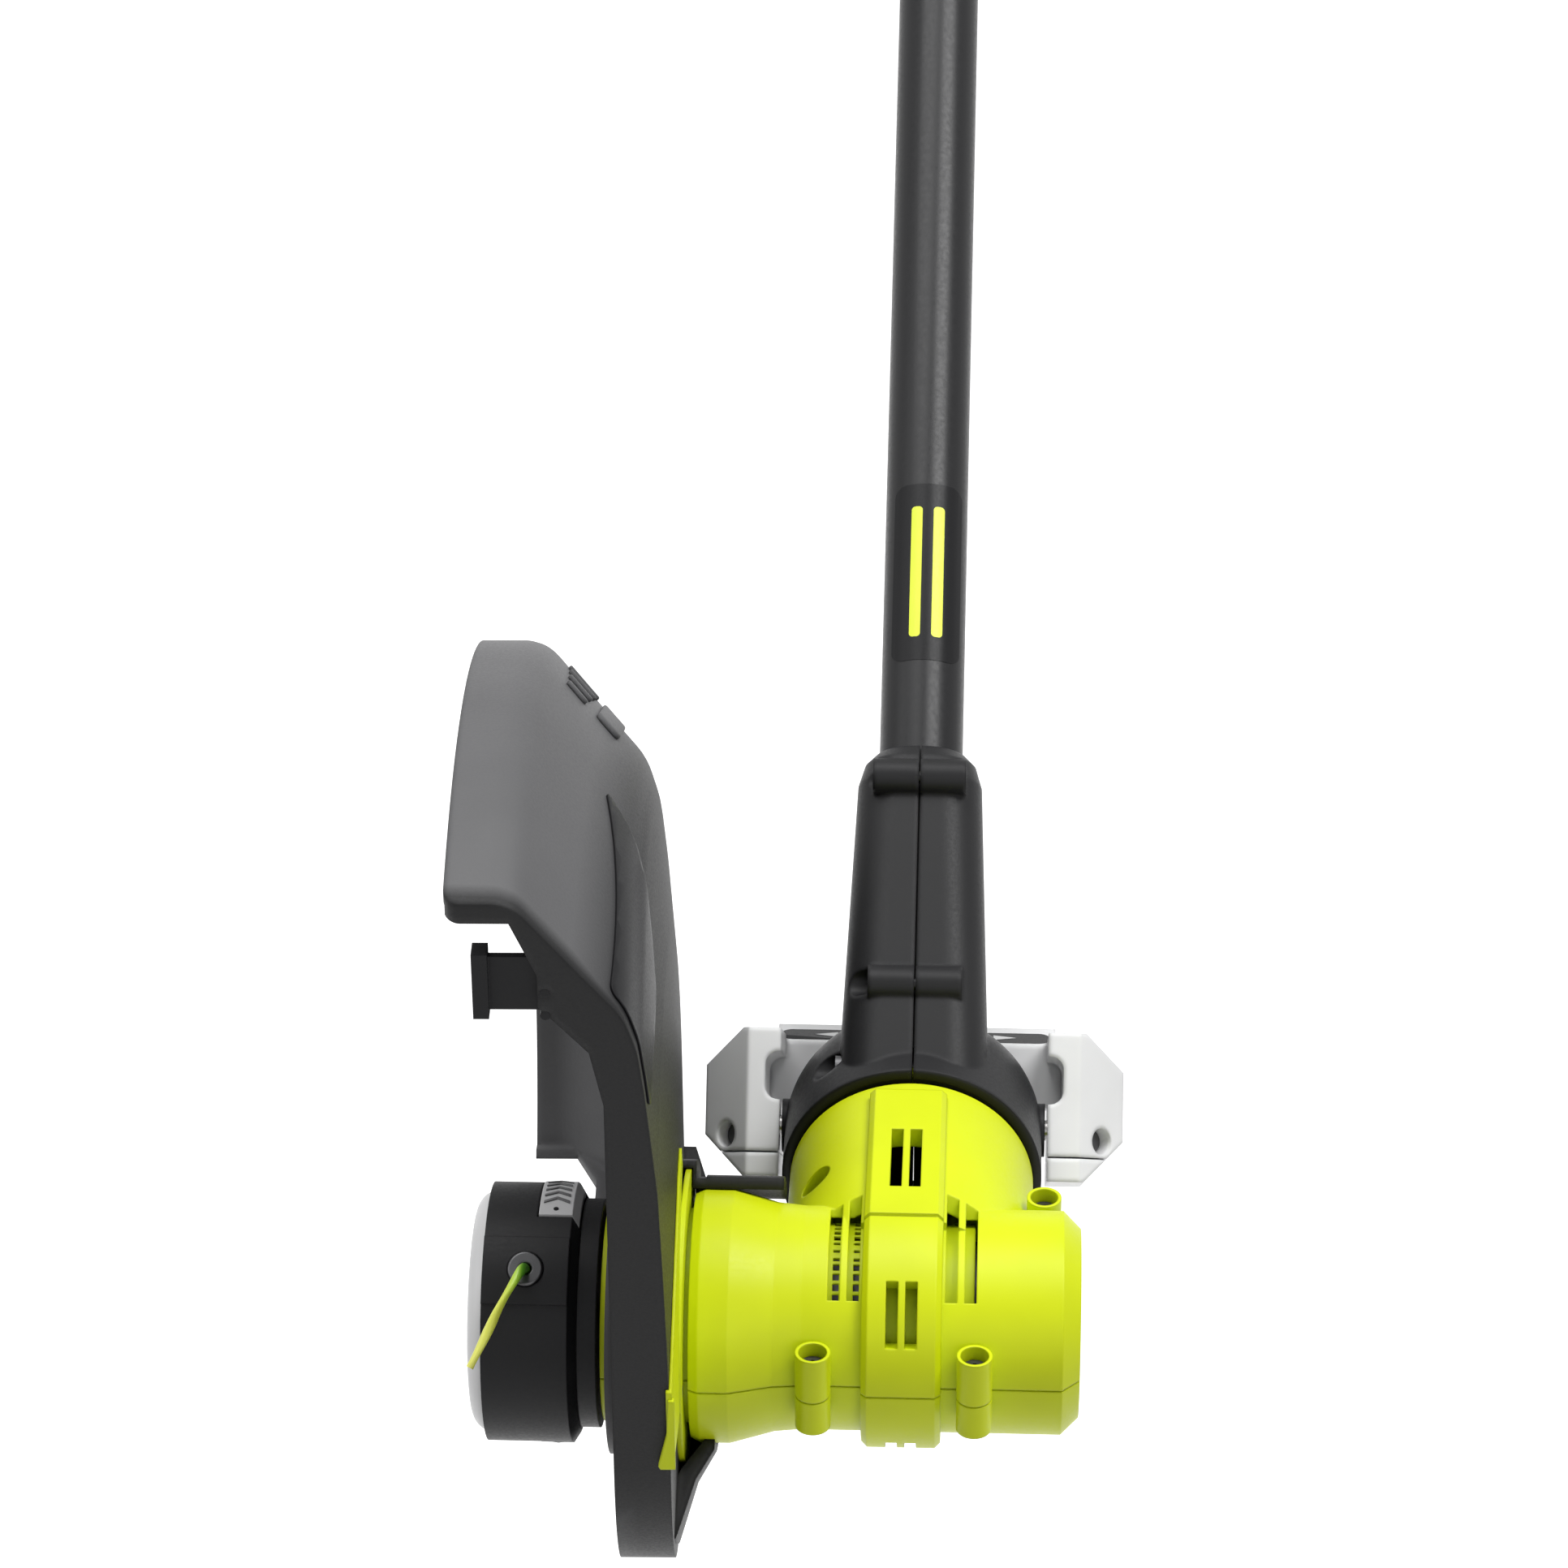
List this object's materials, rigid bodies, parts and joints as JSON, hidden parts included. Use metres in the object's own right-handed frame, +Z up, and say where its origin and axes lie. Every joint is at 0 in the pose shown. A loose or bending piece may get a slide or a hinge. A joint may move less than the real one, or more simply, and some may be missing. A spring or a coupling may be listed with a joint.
{
  "type": "string trimmer",
  "caption": "Cordless string trimmer with a twisting motor head for edging, bump-feed spool, dished guard, foot pedal release, telescopic shaft, loop handle and slide-on battery",
  "frame": {"origin": "middle of the bump cap's flat face, on the spindle's axis", "axes": "+X along the spindle from the bump cap towards the motor, -Y forward, away from the user, +Z up, with the head turned to the edging position"},
  "size_m": [0.1969, 1.1036, 0.7797],
  "materials": {
    "pale_plastic": "satin moulded",
    "black_plastic": "satin moulded",
    "grey_plastic": "satin moulded",
    "lime_plastic": "semi-gloss moulded",
    "guard_plastic": "fine textured",
    "line_nylon": "drawn nylon",
    "charcoal_metal": "powder coated",
    "grip_rubber": "soft grip",
    "steel": "plain steel"
  },
  "bodies": {
    "handle": {"upper_tube": "charcoal_metal", "clamp_collar": "black_plastic", "clamp_bolt": "steel", "lever_pin": "steel", "handle_bracket": "black_plastic", "handle_bolt": "steel", "rear_handle_left": "black_plastic", "rear_handle_right": "black_plastic", "handle_screws": "steel", "trigger_pin": "steel", "trigger_spring": "steel", "switch_body": "black_plastic", "terminal_block": "black_plastic"},
    "lower": {"lower_tube": "charcoal_metal", "yoke_left": "black_plastic", "yoke_right": "black_plastic", "yoke_screws": "steel", "lock_spring": "steel"},
    "head": {"housing_upper": "lime_plastic", "housing_lower": "lime_plastic", "housing_screws": "steel", "motor_can": "steel", "motor_end_bell": "steel", "front_bearing": "steel", "rear_bearing": "steel", "guard": "guard_plastic", "guard_retainer": "lime_plastic", "guard_screws": "steel", "cutter_blade": "charcoal_metal", "cutter_rivets": "steel"},
    "rotor": {"drum": "black_plastic", "drive_hub": "black_plastic", "spindle": "steel", "armature": "steel", "cooling_fan": "grey_plastic", "bump_spring": "steel", "eyelet": "steel", "trimmer_line": "line_nylon"},
    "bump": {"bump_cap": "pale_plastic", "line_spool": "black_plastic", "wound_line": "line_nylon"},
    "latch_upper": {"drum_latch_upper": "grey_plastic"},
    "latch_lower": {"drum_latch_lower": "grey_plastic"},
    "pedal": {"pedal_shell": "pale_plastic", "pedal_covers": "pale_plastic", "pedal_screws": "steel", "pedal_pins": "steel"},
    "lock_pin": {"lock_pin": "steel"},
    "clamp_lever": {"clamp_lever": "black_plastic"},
    "front_handle": {"front_handle": "black_plastic", "front_grip": "grip_rubber"},
    "handle_knob": {"handle_knob": "black_plastic"},
    "trigger": {"trigger": "lime_plastic"},
    "lockoff": {"lockoff_button": "lime_plastic"},
    "battery": {"battery_body": "black_plastic", "battery_lid": "black_plastic", "battery_cells": "steel"},
    "battery_latch_left": {"battery_latch_left": "lime_plastic"},
    "battery_latch_right": {"battery_latch_right": "lime_plastic"}
  },
  "joints": [
    {"name": "telescope", "type": "slide", "parent": "handle", "child": "lower", "axis": [0, 0.809, 0.5878], "range_m": [-0.08, 0.08]},
    {"name": "twist", "type": "hinge", "parent": "lower", "child": "head", "pos_m": [0.123, 0.07, 0], "axis": [0, -1, 0], "range_deg": [0, 90]},
    {"name": "spool_spin", "type": "hinge", "parent": "head", "child": "rotor", "pos_m": [0, 0, 0], "axis": [1, 0, 0], "continuous": true},
    {"name": "bump_slide", "type": "slide", "parent": "rotor", "child": "bump", "axis": [1, 0, 0], "range_m": [0, 0.004], "stiffness_N_per_m": 2000, "springref_m": -0.003, "deforming": ["bump_spring"]},
    {"name": "latch_upper_press", "type": "slide", "parent": "rotor", "child": "latch_upper", "axis": [0, -0.225, -0.9744], "range_m": [0, 0.0016], "stiffness_N_per_m": 1500, "springref_m": -0.001},
    {"name": "latch_lower_press", "type": "slide", "parent": "rotor", "child": "latch_lower", "axis": [0, 0.225, 0.9744], "range_m": [0, 0.0016], "stiffness_N_per_m": 1500, "springref_m": -0.001},
    {"name": "pedal_press", "type": "hinge", "parent": "lower", "child": "pedal", "pos_m": [0.123, 0.0945, 0], "axis": [-1, 0, 0], "range_deg": [0, 10], "stiffness_Nm_per_rad": 4, "springref_deg": -3.44},
    {"name": "lock_pin_slide", "type": "slide", "parent": "lower", "child": "lock_pin", "axis": [0, 1, 0], "range_m": [0, 0.0045], "deforming": ["lock_spring"]},
    {"name": "clamp_lever_turn", "type": "hinge", "parent": "handle", "child": "clamp_lever", "pos_m": [0.148, 0.51688, 0.34705], "axis": [0, 0.809, 0.5878], "range_deg": [0, 90]},
    {"name": "front_handle_tilt", "type": "hinge", "parent": "handle", "child": "front_handle", "pos_m": [0.123, 0.66672, 0.47767], "axis": [1, 0, 0], "range_deg": [-30, 30]},
    {"name": "handle_knob_turn", "type": "hinge", "parent": "handle", "child": "handle_knob", "pos_m": [0.143, 0.66672, 0.47767], "axis": [1, 0, 0], "continuous": true},
    {"name": "trigger_pull", "type": "hinge", "parent": "handle", "child": "trigger", "pos_m": [0.123, 0.86388, 0.57209], "axis": [-1, 0, 0], "range_deg": [0, 9], "stiffness_Nm_per_rad": 2, "springref_deg": -3.44, "deforming": ["trigger_spring"]},
    {"name": "lockoff_press", "type": "slide", "parent": "handle", "child": "lockoff", "axis": [0, 0.5878, -0.809], "range_m": [0, 0.003], "stiffness_N_per_m": 800, "springref_m": -0.001},
    {"name": "battery_slide", "type": "slide", "parent": "handle", "child": "battery", "axis": [0, 0.809, 0.5878], "range_m": [0, 0.06]},
    {"name": "battery_latch_left_press", "type": "slide", "parent": "battery", "child": "battery_latch_left", "axis": [1, 0, 0], "range_m": [0, 0.002], "stiffness_N_per_m": 1500, "springref_m": -0.001},
    {"name": "battery_latch_right_press", "type": "slide", "parent": "battery", "child": "battery_latch_right", "axis": [-1, 0, 0], "range_m": [0, 0.002], "stiffness_N_per_m": 1500, "springref_m": -0.001}
  ],
  "couplings": [
    {"joint": "lock_pin_slide", "follows": "pedal_press", "m_per_rad": 0.025782}
  ]
}
